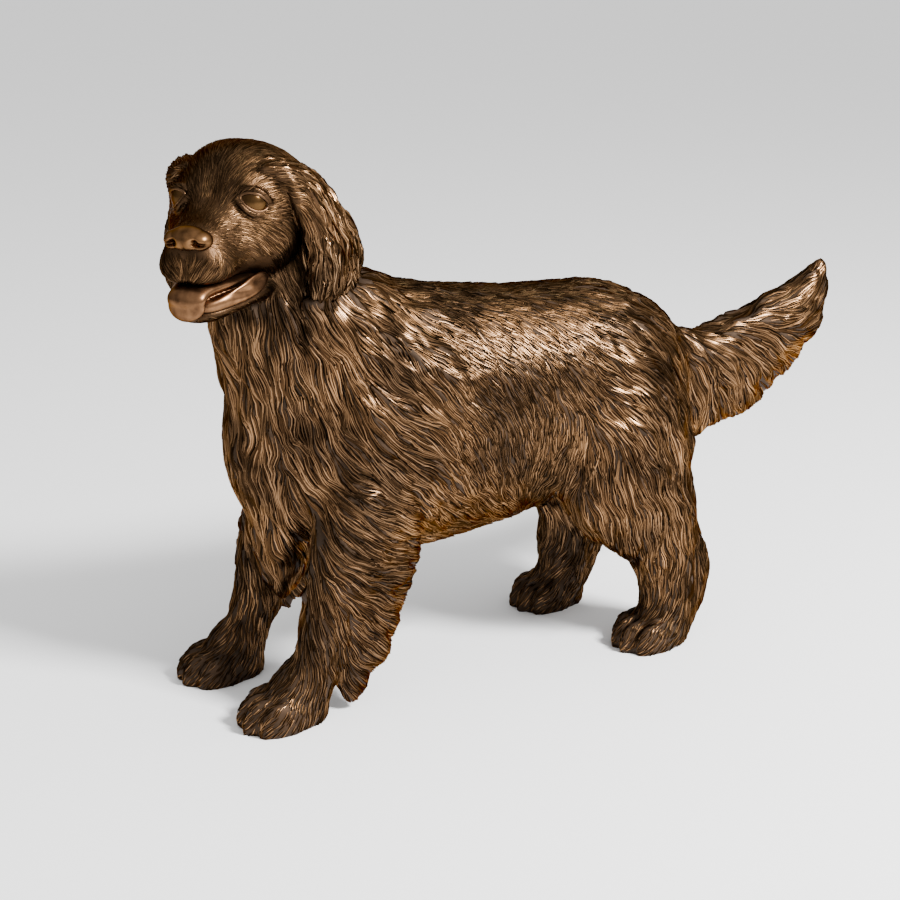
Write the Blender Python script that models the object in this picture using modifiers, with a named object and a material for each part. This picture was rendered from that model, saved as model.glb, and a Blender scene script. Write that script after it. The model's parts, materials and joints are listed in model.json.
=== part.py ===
"""Life-size bronze golden retriever, standing on its four feet, head turned to its left, mouth open.

Frame: +X runs to the tail, -Y is the dog's left side, +Z is up, and the soles stand on Z = 0.
The pose and the carving are given in hundredths of the height at the withers.
"""

import math

import bmesh
import bpy
import numpy as np
from mathutils import Matrix, Vector
from mathutils.bvhtree import BVHTree

# Driving dimension, in metres
HEIGHT = 0.58  # ground to the top of the withers

SHARE = HEIGHT / 100  # every pose and carving size below is in these hundredths

# Pose of the head, turned about the point midway between the eyes
EYES_AT = (-56.7, -13.0, 125.8)
HEAD_YAW = 42.0  # degrees, towards the dog's left
HEAD_ROLL = 3.0  # degrees, the left eye higher
EYE_SPLAY = math.radians(38)  # how far each eye looks to its own side

# How far each ear hangs out from the head
LEFT_EAR_SPREAD = 0.3
RIGHT_EAR_SPREAD = -1.6

# Stance: how far each foot is moved along X from where its leg hangs
LEFT_FORE_STEP = 0.0
RIGHT_FORE_STEP = -4.0
LEFT_HIND_STEP = 0.0
RIGHT_HIND_STEP = -10.5

# Fineness of the fused skins and of the finished facets
BODY_VOXEL = 1.1
HEAD_VOXEL = 0.65
SKIN_VOXEL = 0.6
FACETS = 9800
FACE_AT = (5, 0, -7)  # in head axes
FACE_REACH = 19
PAW_HEIGHT = 8
FINE_MERGING = 0.3  # how freely the facets of the face and the paws merge, the rest being 1
FINE_CARE = 6  # how strongly that is kept to

# Carved locks of the long coat
LOCK_DEPTH = 0.21  # of a lock's width
LOCK_WAVE = 0.9
LOCK_SPACING = 1.0  # between roots, as a share of a lock's width
LOCK_TRIES = 14000
COAT_VOXEL = 0.52


def clear_scene():
    for old in list(bpy.data.objects):
        bpy.data.objects.remove(old)


def head_matrix():
    """Head coordinates are (forward, left, up) from the point between the eyes."""
    turn = Matrix.Rotation(math.radians(HEAD_YAW), 4, "Z") @ Matrix.Rotation(math.radians(HEAD_ROLL), 4, "X")
    axes = Matrix.Diagonal((-1, -1, 1, 1))
    return Matrix.Translation(Vector(EYES_AT)) @ turn @ axes



def ellipsoid(bm, centre, radii, tilt=(0, 0, 0), frame=Matrix.Identity(4)):
    """A rounded mass. tilt is turned about X, Y and Z, in degrees."""
    turn = Matrix.Identity(4)
    for angle, axis in zip(tilt, "XYZ"):
        turn = Matrix.Rotation(math.radians(angle), 4, axis) @ turn
    place = frame @ Matrix.Translation(Vector(centre)) @ turn @ Matrix.Diagonal((*radii, 1))
    bmesh.ops.create_uvsphere(bm, u_segments=28, v_segments=18, radius=1, matrix=place)


def smooth_rows(stations, steps=4):
    """Catmull-Rom curve through rows of numbers."""
    rows = np.array(stations, float)
    ends = [2 * rows[0] - rows[1], *rows, 2 * rows[-1] - rows[-2]]
    out = []
    for a, b, c, d in zip(ends, ends[1:], ends[2:], ends[3:]):
        for t in np.arange(steps) / steps:
            bend = (2 * a - 5 * b + 4 * c - d) * t**2 + (3 * b - a - 3 * c + d) * t**3
            out.append(0.5 * (2 * b + (c - a) * t + bend))
    out.append(rows[-1])
    return np.array(out)


def skin_rings(bm, rings):
    """Closes a tube of vertex rings that all have as many vertices."""
    count = len(rings[0])
    for ring, following in zip(rings, rings[1:]):
        for k in range(count):
            after = (k + 1) % count
            bm.faces.new((ring[k], ring[after], following[after], following[k]))
    bm.faces.new(list(reversed(rings[0])))
    bm.faces.new(rings[-1])


def limb(bm, stations, across=(0, 1, 0), sides=20, frame=Matrix.Identity(4)):
    """A closed form lofted through oval sections. A station is x, y, z, the radius across and the other radius."""
    rows = smooth_rows(stations)
    centres = rows[:, :3]
    rings = []
    for centre, tangent, (wide, deep) in zip(centres, np.gradient(centres, axis=0), rows[:, 3:5]):
        along = Vector(tangent).normalized()
        first = (Vector(across) - along * Vector(across).dot(along)).normalized()
        second = along.cross(first)
        ring = []
        for k in range(sides):
            angle = 2 * math.pi * k / sides
            point = Vector(centre) + first * (wide * math.cos(angle)) + second * (deep * math.sin(angle))
            ring.append(bm.verts.new(frame @ point))
        rings.append(ring)
    skin_rings(bm, rings)


def fused(bm, voxel, smoothing):
    """One closed skin round all the masses in bm."""
    bmesh.ops.recalc_face_normals(bm, faces=bm.faces)
    mesh = bpy.data.meshes.new("masses")
    bm.to_mesh(mesh)
    bm.free()
    source = bpy.data.objects.new("masses", mesh)
    bpy.context.scene.collection.objects.link(source)
    remesh = source.modifiers.new("one skin", "REMESH")
    remesh.mode = "VOXEL"
    remesh.voxel_size = voxel
    soften = source.modifiers.new("soften", "SMOOTH")
    soften.factor = 0.5
    soften.iterations = smoothing
    graph = bpy.context.evaluated_depsgraph_get()
    result = bpy.data.meshes.new_from_object(source.evaluated_get(graph))
    bpy.data.objects.remove(source)
    return result


def trunk(bm):
    limb(
        bm,
        [
            (-44, 0, 76, 3, 5),
            (-40, 0, 72, 11, 17),
            (-33, 0, 69, 17.5, 26),
            (-22, 0, 68, 21.5, 31),
            (-8, 0, 67.5, 23, 32.5),
            (8, 0, 67.5, 23, 31),
            (22, 0, 68, 22.5, 29),
            (34, 0, 69.5, 21.5, 27),
            (46, 0, 71, 21, 24.5),
            (57, 0, 70.5, 18.5, 20.5),
            (67, 0, 69.5, 12.5, 14.5),
            (73, 0, 69, 4, 6),
        ],
        sides=32,
    )


def neck(bm):
    limb(
        bm,
        [
            (-6, 0, 62, 19, 26),
            (-16, -0.3, 73, 20, 26),
            (-26.5, -0.8, 85, 19, 22.5),
            (-35.5, -1.5, 96, 17, 18),
            (-39.5, -2.5, 108, 13, 16),
            (-43, -4, 121, 12, 12),
        ],
    )


def ruff(bm):
    """The long fur from the throat down the breastbone, and its end that hangs between the forelegs."""
    limb(
        bm,
        [
            (-41.5, -1.5, 104, 11, 8),
            (-42, -0.5, 90, 13, 8.6),
            (-41.2, 0, 76, 13, 8),
            (-40.5, 0, 63, 11.5, 7.2),
            (-39.6, 0, 50, 8.5, 6),
            (-39.4, 0, 38, 5.5, 4.6),
            (-39.6, 0, 28.5, 2.4, 2.4),
        ],
    )


def foreleg(bm, side, step, feather_end):
    """side is -1 for the left leg."""
    ellipsoid(bm, (-22, side * 13.5, 68), (14, 9, 20), (0, -14, 0))
    ellipsoid(bm, (-24 + step * 1.2, side * 15, 53), (11.5, 8.2, 13))
    limb(
        bm,
        [
            (-21 + step, side * 15.5, 56, 6.8, 12),
            (-26.5 + step * 1.2, side * 16.5, 45, 7.2, 10.5),
            (-31.8 + step, side * 17, 33, 6, 8),
            (-35.5 + step * 0.9, side * 17, 22, 5.2, 6.2),
            (-38 + step, side * 16.7, 13, 5, 5.8),
            (-40.5 + step, side * 16.3, 7, 5.4, 6.2),
            (-42.5 + step, side * 16, 2, 5.4, 6.4),
        ],
    )
    limb(  # feathering that hangs behind the leg
        bm,
        [
            (-17, side * 16, 52, 4.5, 6),
            (-20.5, side * 16.5, 41, 5, 8.5),
            (-24 + step * 0.3, side * 16.8, 32, 4.4, 9),
            (-26 + step * 0.5, side * 16.8, 22 + feather_end * 0.4, 3.6, 7.6),
            (-28 + step * 0.7, side * 16.8, 12 + feather_end * 0.8, 2.8, 5),
            (-29 + step * 0.8, side * 16.8, 3 + feather_end, 1.5, 2),
        ],
    )


def hind_leg(bm, side, step):
    limb(
        bm,
        [
            (44, side * 10, 76, 11, 18),
            (46.5, side * 13, 61, 10.5, 20.5),
            (49.5 + step * 0.1, side * 15, 48, 9.5, 18.3),
            (54 + step * 0.1, side * 16.3, 39, 8.5, 14),
            (58.5 + step * 0.35, side * 17, 31, 7.4, 10.2),
            (61 + step * 0.7, side * 17.3, 23, 6.6, 7.8),
            (62 + step, side * 17.5, 15, 6, 6.8),
            (61 + step, side * 17.6, 8, 6, 7.2),
            (59 + step, side * 17.8, 2, 6, 7.7),
        ],
    )
    limb(  # feathering behind the hock
        bm,
        [
            (67 + step * 0.7, side * 17, 30, 2.5, 3),
            (68.5 + step * 0.9, side * 17.2, 23, 3.4, 4.6),
            (68.5 + step, side * 17.4, 15, 3.4, 5),
            (67.5 + step, side * 17.5, 8, 3, 4.2),
            (66 + step, side * 17.6, 3, 1.6, 2),
        ],
    )


def paw(bm, x, y, half_length, half_width):
    """A pad and four toes, pointing to -X."""
    ellipsoid(bm, (x + 1.5, y, 2.2), (half_length * 0.8, half_width * 0.88, 6))
    for offset, forward in ((-0.76, 0.36), (-0.27, 0.6), (0.27, 0.6), (0.76, 0.36)):
        toe_at = (x - half_length * forward + 1.5, y + half_width * offset, 1.6)
        ellipsoid(bm, toe_at, (5.6, half_width * 0.27, 5.3), (0, -12, 0))


def tail(bm):
    limb(
        bm,
        [
            (60, 0, 71, 8, 13),
            (70, 0, 66.5, 7.5, 14),
            (82, 0, 65.8, 6, 12.8),
            (94, 0, 69, 5.4, 11.9),
            (104, 0, 73.8, 4.6, 10.4),
            (111.5, 0, 79, 3.7, 8.4),
            (116.5, 0, 84.5, 2.6, 5.6),
            (119.6, 0, 90, 1.4, 2.6),
            (120.8, 0, 93.6, 0.4, 0.6),
        ],
    )


def body_masses():
    bm = bmesh.new()
    paws = bmesh.new()  # kept out of the softening, so that the toes stay parted
    trunk(bm)
    neck(bm)
    ruff(bm)
    for side, fore_step, hind_step, feather_end in (
        (-1, LEFT_FORE_STEP, LEFT_HIND_STEP, 0),
        (1, RIGHT_FORE_STEP, RIGHT_HIND_STEP, 14),
    ):
        foreleg(bm, side, fore_step, feather_end)
        hind_leg(bm, side, hind_step)
        paw(paws, -46 + fore_step, side * 15.8, 12, 7.8)
        paw(paws, 57.5 + hind_step, side * 18, 11.5, 7.6)
    tail(bm)
    paws.from_mesh(fused(bm, BODY_VOXEL, 14))
    return fused(paws, HEAD_VOXEL, 1)


def skull_and_muzzle(bm, sides=40):
    """Lofted along the head. A station is forward, top, height of the widest line, bottom and half width."""
    stations = [
        (-29, 1, -6, -17, 6),
        (-27, 4.5, -6, -21, 11),
        (-20.5, 9.6, -4, -23, 14.8),
        (-13, 12.2, -2, -22, 14.8),
        (-7, 12, -3.5, -19, 14.2),
        (-2.5, 9.5, -5, -16.5, 12.6),
        (0.5, 5.6, -6.5, -15.8, 10.8),
        (3.5, 1.4, -8, -16, 9),
        (7, -1.2, -9.5, -16.4, 7.7),
        (10.5, -2.6, -10, -16.6, 7.1),
        (13.2, -4.6, -10.6, -16.4, 6.3),
        (14.9, -7, -11.4, -15.6, 4.7),
        (15.6, -10, -12, -13.5, 1.8),
    ]
    rings = []
    for forward, top, widest, bottom, half in smooth_rows(stations):
        ring = []
        for k in range(sides):
            angle = 2 * math.pi * k / sides
            across = half * math.copysign(abs(math.cos(angle)) ** 0.85, math.cos(angle))
            reach = top - widest if math.sin(angle) > 0 else widest - bottom
            ring.append(bm.verts.new((forward, across, widest + reach * math.sin(angle))))
        rings.append(ring)
    skin_rings(bm, rings)


def sculpt(mesh, strokes):
    """Pushes the skin round each centre, and round its mirror image: (centre, reach, push), all in head axes."""
    where = np.empty(len(mesh.vertices) * 3, np.float32)
    mesh.vertices.foreach_get("co", where)
    where = where.reshape(-1, 3)
    moved = where.copy()
    for centre, reach, push in strokes:
        for side in (-1, 1) if centre[1] else (1,):
            flip = np.array((1, side, 1))
            away = (where - np.array(centre) * flip) / np.array(reach)
            moved += np.exp(-(away**2).sum(1))[:, None] * (np.array(push) * flip)
    mesh.vertices.foreach_set("co", moved.ravel())


FACE = [
    ((1.5, 8.2, 4.6), (3, 3.6, 1.9), (0.9, 0.3, 0.5)),  # brow
    ((2.5, 0, 4.2), (3.5, 1.8, 4.5), (-0.9, 0, -0.5)),  # furrow between the brows
    ((1.5, 9.2, 0), (3, 3, 2.4), (-1.5, -1.1, 0)),  # eye socket
    ((2.5, 8.2, -5), (4, 3, 3), (-0.3, -0.9, 0)),  # hollow under the eye
    ((-5, 13, -9), (6, 5, 6), (0, 1.2, 0)),  # cheek
    ((10, 6.6, -12), (5, 4, 3.2), (0.2, 1.3, -0.2)),  # flews
    ((15, 0, -12), (3, 0.8, 3.4), (-1, 0, 0)),  # groove under the nose
    ((9, 0, -16.8), (9, 4.4, 2.2), (0, 0, 2.6)),  # roof of the mouth
]


def lower_jaw(bm):
    limb(
        bm,
        [
            (-12, 0, -19, 9.5, 5.5),
            (-5, 0, -19.3, 9.4, 3.8),
            (1, 0, -20.2, 8.4, 2.8),
            (7, 0, -21.2, 6.6, 2.2),
            (11, 0, -21.9, 4.8, 1.7),
            (13, 0, -22.2, 2.6, 1),
        ],
    )
    lip = [(-2.5, 9.2, -16.4), (2, 8.4, -17.7), (6.5, 6.8, -18.9), (10, 4.9, -19.9), (12.2, 2.4, -20.5)]
    mirrored = [(forward, -left, up) for forward, left, up in reversed(lip)]
    limb(bm, [(*point, 1.6, 1) for point in lip + mirrored], across=(0, 0, 1), sides=12)


def tongue(bm):
    limb(
        bm,
        [
            (-4, 0, -17, 5, 1.4),
            (4, 0, -17.8, 5, 1.4),
            (9.5, 0, -17.9, 4.8, 1.5),
            (12.8, 0, -18.2, 4.8, 1.6),
            (14.8, 0, -19.9, 4.5, 1.5),
            (15, 0, -22.4, 2.8, 1),
        ],
    )


def nose(bm):
    ellipsoid(bm, (13.2, 0, -5.4), (3.1, 5, 2.9), (0, 20, 0))
    for side in (-1, 1):
        ellipsoid(bm, (13.4, side * 3.1, -6), (2.8, 2.3, 2.5))


NOSTRILS = [
    ((15.6, 2.4, -6.6), (1.6, 0.9, 0.8), (-1.3, 0, 0)),
    ((15.6, 0, -6.8), (1.4, 0.5, 2.6), (-0.5, 0, 0)),
]


def eyes(bm):
    """Eyeballs, each in a ring of lids that stands proud of it."""
    for side in (-1, 1):
        centre = Vector((-0.6, side * 8.6, 0.9))
        ellipsoid(bm, centre, (2.45, 2.45, 2.45))
        outwards = Vector((math.cos(EYE_SPLAY), side * math.sin(EYE_SPLAY), 0))
        across = Vector((-math.sin(EYE_SPLAY), side * math.cos(EYE_SPLAY), 0))
        lids = []
        for k in range(17):
            angle = 2 * math.pi * k / 16
            rim = across * (2.75 * math.cos(angle)) + Vector((0, 0, 2.15 * math.sin(angle)))
            lids.append((*(centre + outwards * (1.3 - 0.5 * math.cos(angle) ** 2) + rim), 0.6, 0.6))
        limb(bm, lids, across=outwards, sides=8)


def ear(bm, side, spread):
    limb(
        bm,
        [
            (-7, side * 11, 6.5, 3, 2.2),
            (-10.5, side * 14, 4.5, 6, 2.6),
            (-14.5, side * (16.4 + spread), -1.5, 8.2, 2.8),
            (-18, side * (17.8 + spread), -8.5, 10, 3),
            (-18, side * (18.4 + spread), -13.5, 9.6, 3.1),
            (-14.5, side * (18.4 + spread), -18, 7, 2.9),
            (-11.5, side * (18 + spread), -21.5, 4, 2.2),
            (-10.5, side * (17.6 + spread), -23.2, 2, 1.2),
        ],
        across=(1, 0, 0),
    )


def head_masses():
    bm = bmesh.new()
    skull_and_muzzle(bm)
    skin = fused(bm, HEAD_VOXEL, 3)
    sculpt(skin, FACE)
    bm = bmesh.new()
    bm.from_mesh(skin)
    lower_jaw(bm)
    nose(bm)
    tongue(bm)
    eyes(bm)
    for side, spread in ((-1, RIGHT_EAR_SPREAD), (1, LEFT_EAR_SPREAD)):
        ellipsoid(bm, (-21, side * 11.5, -9), (10, 6, 12))  # fur behind the ear
        ear(bm, side, spread)
    skin = fused(bm, HEAD_VOXEL, 1)
    sculpt(skin, NOSTRILS)
    skin.transform(head_matrix())
    return skin


# How the coat lies: (place, direction the hair points), on the left and mirrored to the right
COMB = [
    ((-24, 0, 110), (1, 0, -0.6)),
    ((-36, -16, 102), (0.5, -0.1, -1)),
    ((-53, 0, 96), (0.05, 0, -1)),
    ((-50, -8, 78), (0.15, -0.1, -1)),
    ((-46, 0, 55), (0.1, 0, -1)),
    ((-22, -22, 80), (0.55, 0, -1)),
    ((-24, -22, 60), (0.3, 0, -1)),
    ((0, 0, 98), (1, 0, -0.1)),
    ((28, 0, 96), (1, 0, -0.1)),
    ((52, 0, 90), (1, 0, -0.4)),
    ((5, -18, 86), (1, -0.1, -0.5)),
    ((30, -18, 84), (1, -0.1, -0.55)),
    ((0, -23, 66), (0.75, 0, -0.9)),
    ((25, -22, 65), (0.6, 0, -1)),
    ((5, -17, 44), (0.55, 0, -1)),
    ((8, 0, 36), (1, 0, -0.4)),
    ((-38, -17, 30), (0, 0, -1)),
    ((-40, -16, 14), (-0.2, 0, -1)),
    ((-22, -17, 36), (0.4, 0, -1)),
    ((-26, -17, 14), (0.1, 0, -1)),
    ((-52, -16, 5), (-1, 0, -0.4)),
    ((48, -20, 68), (0.4, 0, -1)),
    ((55, -18, 45), (0.35, 0, -1)),
    ((68, -8, 62), (0.35, 0, -1)),
    ((62, -17, 20), (0.1, 0, -1)),
    ((50, -18, 5), (-1, 0, -0.4)),
    ((76, 0, 68), (1, 0, -0.6)),
    ((88, 0, 56), (1, 0, -0.35)),
    ((96, 0, 80), (1, 0, 0)),
    ((104, 0, 64), (1, 0, 0.25)),
    ((116, 0, 80), (0.8, 0, 0.8)),
]

# The same on the ears, in head axes
EAR_COMB = [
    ((-12, 16, 4), (-0.5, 0.3, -1)),
    ((-18, 19, -6), (-0.3, 0, -1)),
    ((-18, 19, -15), (0, 0, -1)),
    ((-12, 18, -22), (0.3, 0, -1)),
]
COMB_REACH = 13
EAR_COMB_REACH = 7

# Where the coat parts into locks: (place, reach of the patch, length of a lock, its width)
LONG_COAT = [
    ((-48, 0, 92), (12, 22, 12), 14, 5.4),
    ((-47, 0, 70), (12, 18, 16), 16, 6),
    ((-43, 0, 46), (9, 11, 14), 16, 5),
    ((-32, -14, 98), (16, 9, 16), 15, 6),
    ((-22, -20, 76), (16, 8, 16), 16, 6.5),
    ((-16, 0, 104), (10, 12, 8), 12, 6),
    ((-22, -17, 38), (10, 6, 14), 14, 5),
    ((-26, -17, 18), (6, 5, 12), 12, 4.2),
    ((-8, -18, 46), (9, 8, 7), 12, 5),
    ((10, -14, 42), (16, 10, 7), 12, 5),
    ((28, -18, 48), (7, 8, 10), 12, 5),
    ((52, -18, 52), (15, 8, 18), 16, 6.5),
    ((67, -12, 48), (8, 10, 20), 15, 6),
    ((70, -17, 18), (5, 5, 12), 11, 4),
    ((84, 0, 66), (12, 9, 16), 17, 6),
    ((102, 0, 70), (12, 8, 14), 15, 5),
    ((114, 0, 81), (5, 6, 8), 9, 3.4),
]
EAR_COAT = [((-15, 19, -11), (11, 6, 13), 13, 4.6)]


def both_sides(rows):
    """The rows and their mirror images. The first entry of a row is a place, and so is the second of a comb row."""
    flip = np.array((1, -1, 1))
    return rows + [(np.array(place) * flip, *rest) for place, *rest in rows if place[1]]


def comb_tables():
    """Places, directions and reaches of both combs, in the frame of the body."""
    turn = np.array(head_matrix())
    places, directions, reaches = [], [], []
    for rows, reach in ((COMB, COMB_REACH), (EAR_COMB, EAR_COMB_REACH)):
        for place, direction in rows:
            for side in (-1, 1) if place[1] else (1,):
                flip = (1, side, 1)
                spot, heading = np.multiply(place, flip), np.multiply(direction, flip)
                if rows is EAR_COMB:
                    spot, heading = turn[:3, :3] @ spot + turn[:3, 3], turn[:3, :3] @ heading
                places.append(spot)
                directions.append(heading)
                reaches.append(reach)
    return np.array(places), np.array(directions), np.array(reaches)


def combed(point, places, directions, reaches):
    """Direction of the hair at a point, averaged from the nearby rows of the comb."""
    nearness = ((places - np.array(point)) ** 2).sum(1) / reaches**2
    weights = np.exp(nearness.min() - nearness)
    return Vector(weights @ directions).normalized()


def patches():
    turn = np.array(head_matrix())
    out = both_sides(LONG_COAT)
    for place, *rest in both_sides(EAR_COAT):
        out.append((turn[:3, :3] @ np.array(place) + turn[:3, 3], *rest))
    return out


def lock(bm, surface, root, length, width, tables, phase):
    """One curved ridge of hair that grows from root along the comb and tapers to its tip."""
    steps = 7
    here = Vector(root)
    rings = []
    for k in range(steps + 1):
        t = k / steps
        spot, normal, _, _ = surface.find_nearest(here)
        heading = combed(spot, *tables)
        heading = (heading - normal * heading.dot(normal) * (1 - 0.6 * t)).normalized()
        aside = normal.cross(heading).normalized()
        depth = LOCK_DEPTH * width
        swell = math.sin(math.pi * min(0.98, 0.12 + 0.86 * t)) ** 0.7
        centre = spot.lerp(here, 0.8 * t) + aside * (LOCK_WAVE * math.sin(phase + 5.5 * t))
        ring = []
        for j in range(6):
            angle = math.pi * j / 3
            offset = aside * (width / 2 * swell * math.cos(angle)) + normal * (depth * swell * math.sin(angle))
            ring.append(bm.verts.new(centre + offset))
        rings.append(ring)
        here = here.lerp(spot, 0.6) + heading * (length / steps)
    skin_rings(bm, rings)


def coat(mesh):
    """Locks over the long parts of the coat, set out at random but the same each time."""
    bm = bmesh.new()
    bm.from_mesh(mesh)
    surface = BVHTree.FromBMesh(bm)
    centres = np.array([face.calc_center_median() for face in bm.faces])
    tables = comb_tables()
    areas = patches()
    chance = np.random.default_rng(7)
    roots = np.empty((0, 3))
    for root in centres[chance.permutation(len(centres))[:LOCK_TRIES]]:
        depths = [(((root - place) / reach) ** 2).sum() for place, reach, _, _ in areas]
        nearest = int(np.argmin(depths))
        _, _, length, width = areas[nearest]
        crowded = len(roots) and (((roots - root) ** 2).sum(1) < (width * LOCK_SPACING) ** 2).any()
        if depths[nearest] < 1.6 and not crowded:
            roots = np.vstack([roots, root])
            lock(bm, surface, root, length * chance.uniform(0.8, 1.15), width, tables, chance.uniform(0, 6))
    return fused(bm, COAT_VOXEL, 0)


def thinned(mesh):
    """The mesh with about FACETS triangles, finer on the face and the paws."""
    dog = bpy.data.objects.new("dog", mesh)
    bpy.context.scene.collection.objects.link(dog)
    coarse = dog.vertex_groups.new(name="coarse")
    face_at = head_matrix() @ Vector(FACE_AT)
    for vertex in mesh.vertices:
        fine = (vertex.co - face_at).length < FACE_REACH or vertex.co.z < PAW_HEIGHT
        coarse.add([vertex.index], FINE_MERGING if fine else 1, "REPLACE")
    facets = dog.modifiers.new("facets", "DECIMATE")
    facets.ratio = FACETS / (2 * len(mesh.polygons))
    facets.vertex_group = coarse.name
    facets.vertex_group_factor = FINE_CARE
    result = bpy.data.meshes.new_from_object(dog.evaluated_get(bpy.context.evaluated_depsgraph_get()))
    bpy.data.objects.remove(dog)
    return result


def drop_bubbles(bm):
    """Deletes the closed skins that fusing leaves inside a form, and keeps the largest."""
    bodies, seen = [], set()
    for first in bm.verts:
        if first in seen:
            continue
        seen.add(first)
        body, edge_of_body = [], [first]
        while edge_of_body:
            vertex = edge_of_body.pop()
            body.append(vertex)
            fresh = {edge.other_vert(vertex) for edge in vertex.link_edges} - seen
            seen |= fresh
            edge_of_body += fresh
        bodies.append(body)
    bodies.sort(key=len)
    for body in bodies[:-1]:
        bmesh.ops.delete(bm, geom=body, context="VERTS")


def stand_flat(mesh):
    """Cuts the soles level on Z = 0 and centres the dog over the origin."""
    bm = bmesh.new()
    bm.from_mesh(mesh)
    drop_bubbles(bm)
    whole = bm.verts[:] + bm.edges[:] + bm.faces[:]
    cut = bmesh.ops.bisect_plane(bm, geom=whole, plane_co=(0, 0, 0), plane_no=(0, 0, 1), clear_inner=True)
    rim = [item for item in cut["geom_cut"] if isinstance(item, bmesh.types.BMEdge)]
    bmesh.ops.edgenet_fill(bm, edges=rim)
    bmesh.ops.triangulate(bm, faces=bm.faces)
    low, high = (Vector(pick(vertex.co[k] for vertex in bm.verts) for k in range(3)) for pick in (min, max))
    middle = (low + high) / 2
    bmesh.ops.translate(bm, verts=bm.verts, vec=(-middle.x, -middle.y, 0))
    bm.to_mesh(mesh)
    bm.free()


def bronze():
    material = bpy.data.materials.new("patinated bronze")
    material.use_nodes = True
    shader = material.node_tree.nodes["Principled BSDF"]
    shader.inputs["Base Color"].default_value = (0.11, 0.055, 0.028, 1)
    shader.inputs["Metallic"].default_value = 0.9
    shader.inputs["Roughness"].default_value = 0.42
    return material


def main():
    clear_scene()
    bm = bmesh.new()
    bm.from_mesh(body_masses())
    bm.from_mesh(head_masses())
    mesh = thinned(coat(fused(bm, SKIN_VOXEL, 1)))
    mesh.transform(Matrix.Scale(SHARE, 4))
    stand_flat(mesh)
    mesh.name = "retriever"
    mesh.materials.clear()
    mesh.materials.append(bronze())
    parts = bpy.data.collections.new("golden_retriever_statue")
    bpy.context.scene.collection.children.link(parts)
    parts.objects.link(bpy.data.objects.new("retriever", mesh))


main()
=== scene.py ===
import json
import math

import bmesh
import bpy
import numpy as np
from mathutils import Matrix, Vector
from mathutils.bvhtree import BVHTree

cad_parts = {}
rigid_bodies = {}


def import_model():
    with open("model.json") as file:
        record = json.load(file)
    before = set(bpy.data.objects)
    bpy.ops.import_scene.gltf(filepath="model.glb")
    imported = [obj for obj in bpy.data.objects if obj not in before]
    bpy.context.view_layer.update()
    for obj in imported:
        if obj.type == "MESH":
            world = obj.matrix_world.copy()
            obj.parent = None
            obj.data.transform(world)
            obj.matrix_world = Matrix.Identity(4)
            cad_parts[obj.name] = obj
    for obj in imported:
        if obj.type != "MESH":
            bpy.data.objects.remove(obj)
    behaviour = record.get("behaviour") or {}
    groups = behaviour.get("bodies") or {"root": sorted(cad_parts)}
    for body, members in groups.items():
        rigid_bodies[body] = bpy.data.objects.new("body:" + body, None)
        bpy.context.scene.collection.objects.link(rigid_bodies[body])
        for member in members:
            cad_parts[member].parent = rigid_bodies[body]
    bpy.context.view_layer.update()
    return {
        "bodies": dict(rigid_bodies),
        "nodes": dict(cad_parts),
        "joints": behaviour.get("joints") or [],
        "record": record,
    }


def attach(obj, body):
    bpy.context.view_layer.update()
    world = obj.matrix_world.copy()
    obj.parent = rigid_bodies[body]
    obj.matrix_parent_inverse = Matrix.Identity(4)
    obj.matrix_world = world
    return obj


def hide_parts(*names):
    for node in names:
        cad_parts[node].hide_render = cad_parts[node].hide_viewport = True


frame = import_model()

# The body: trunk, neck, legs and tail of a life-size dog, cast hollow in bronze, standing on its four soles.
# The metal is patinated dark brown, and this skin is the ground that the chased coat lies on.
# It ends flat inside the throat, where the head takes over.
HUNDREDTH = 0.0058  # m, of the height at the withers
WITHERS_AT = Vector((-0.1466, 0.0023, 0))  # the point under the withers, seen from the middle of the casting
THROAT_CUT = 0.6  # m above the ground
SOLE_FLAT = 0.004  # m, below which the skin is pressed flat on the ground
EDGE_TINT = (0.55, 0.42, 0.32, 1)  # the metal stays brown where it is seen edge on
BODY_GRAIN = 0.0046  # m, the finest form that the skin holds
BODY_SMOOTHING = 4  # passes
BODY_FACETS = 66000

to_row = Matrix.Translation(WITHERS_AT) @ Matrix.Scale(HUNDREDTH, 4)


def fused(bm, grain, smoothing):
    """One closed skin round all the closed forms in bm, which it frees."""
    bmesh.ops.recalc_face_normals(bm, faces=bm.faces)
    mesh = bpy.data.meshes.new("forms")
    bm.to_mesh(mesh)
    bm.free()
    forms = bpy.data.objects.new("forms", mesh)
    bpy.context.scene.collection.objects.link(forms)
    skin = forms.modifiers.new("skin", "REMESH")
    skin.mode = "VOXEL"
    skin.voxel_size = grain
    soften = forms.modifiers.new("soften", "SMOOTH")
    soften.factor = 0.5
    soften.iterations = smoothing
    graph = bpy.context.evaluated_depsgraph_get()
    result = bpy.data.meshes.new_from_object(forms.evaluated_get(graph))
    bpy.data.objects.remove(forms)
    return result


def largest_body(mesh):
    """Deletes every closed skin of the mesh but the one with most points."""
    bm = bmesh.new()
    bm.from_mesh(mesh)
    bodies, seen = [], set()
    for first in bm.verts:
        if first in seen:
            continue
        seen.add(first)
        body, rim = [], [first]
        while rim:
            point = rim.pop()
            body.append(point)
            fresh = {edge.other_vert(point) for edge in point.link_edges} - seen
            seen |= fresh
            rim += fresh
        bodies.append(body)
    bodies.sort(key=len)
    for body in bodies[:-1]:
        bmesh.ops.delete(bm, geom=body, context="VERTS")
    bm.to_mesh(mesh)
    bm.free()


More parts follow.
